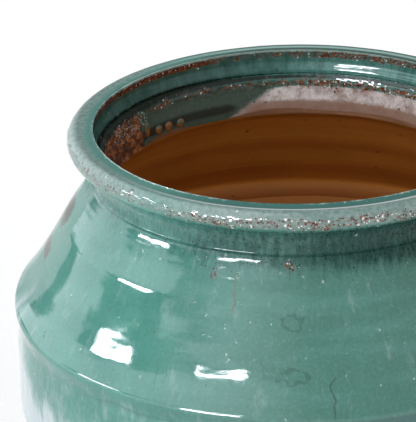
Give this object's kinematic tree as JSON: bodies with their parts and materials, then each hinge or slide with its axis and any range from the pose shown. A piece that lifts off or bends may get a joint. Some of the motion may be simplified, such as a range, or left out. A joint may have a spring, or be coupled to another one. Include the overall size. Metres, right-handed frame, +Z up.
{
  "type": "terracotta pot",
  "caption": "Wide-mouthed terracotta jar planter with a rolled rim, short neck, sloping shoulder, full belly, drained floor and poured turquoise and white glaze.",
  "frame": {"origin": "centre of the foot, on the floor that the pot stands on", "axes": "+Z up along the pot's axis of rotation; X and Y are level"},
  "size_m": [0.4002, 0.4, 0.34],
  "materials": {
    "terracotta": "matte",
    "turquoise_glaze": "gloss",
    "white_glaze": "gloss",
    "lining_glaze": "gloss"
  },
  "bodies": {
    "root": {"foot_ring": "terracotta", "floor_disc": "terracotta", "floor_joint_coil": "terracotta", "lower_wall": "terracotta", "belly_joint_coil": "terracotta", "upper_wall": "terracotta", "neck_collar": "terracotta", "rim_roll": "terracotta", "rim_glaze": "turquoise_glaze", "shoulder_glaze": "turquoise_glaze", "belly_glaze": "white_glaze", "neck_lining_glaze": "lining_glaze", "glaze_drops": "turquoise_glaze"}
  },
  "joints": []
}
